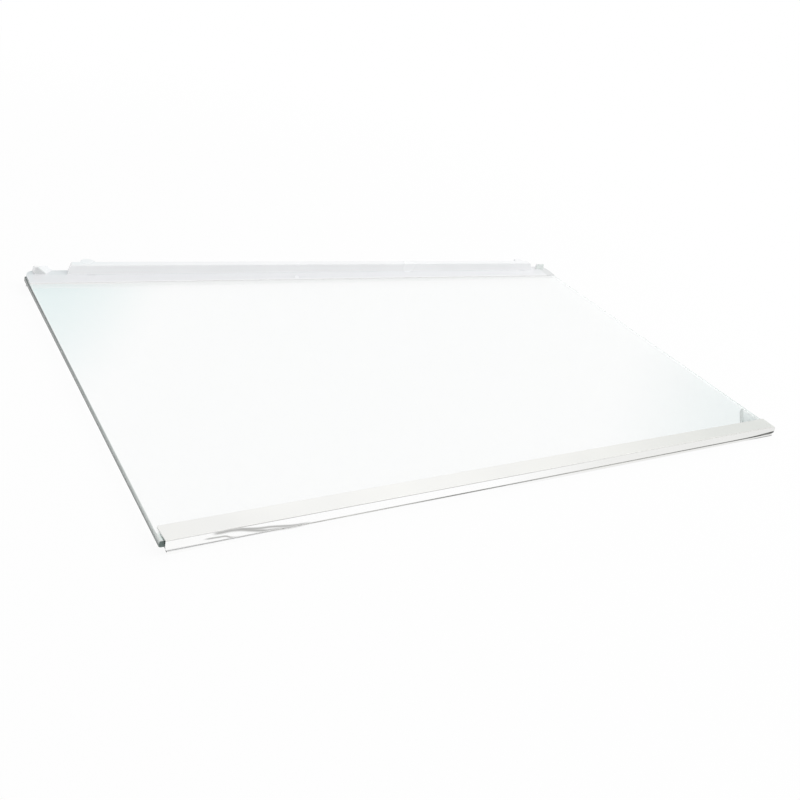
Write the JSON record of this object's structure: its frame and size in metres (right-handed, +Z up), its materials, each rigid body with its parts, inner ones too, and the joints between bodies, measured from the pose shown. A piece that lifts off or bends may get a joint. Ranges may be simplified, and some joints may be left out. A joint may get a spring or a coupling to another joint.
{
  "type": "fridge glass shelf",
  "caption": "Rectangular toughened glass fridge shelf with a white front trim carrying a bright strip and a white rear trim with a raised back stop, end lugs and spacers.",
  "frame": {"origin": "middle of the shelf's box, on the plane that the two trims stand on", "axes": "+X along the front from left to right, +Y from the front to the rear, +Z up"},
  "size_m": [0.4782, 0.2854, 0.0154],
  "materials": {
    "toughened_glass": "polished, ground edges",
    "white_plastic": "satin moulded",
    "bright_metal": "bright polished"
  },
  "bodies": {
    "root": {"glass_pane": "toughened_glass", "front_trim": "white_plastic", "bright_strip": "bright_metal", "rear_trim": "white_plastic"}
  },
  "joints": []
}
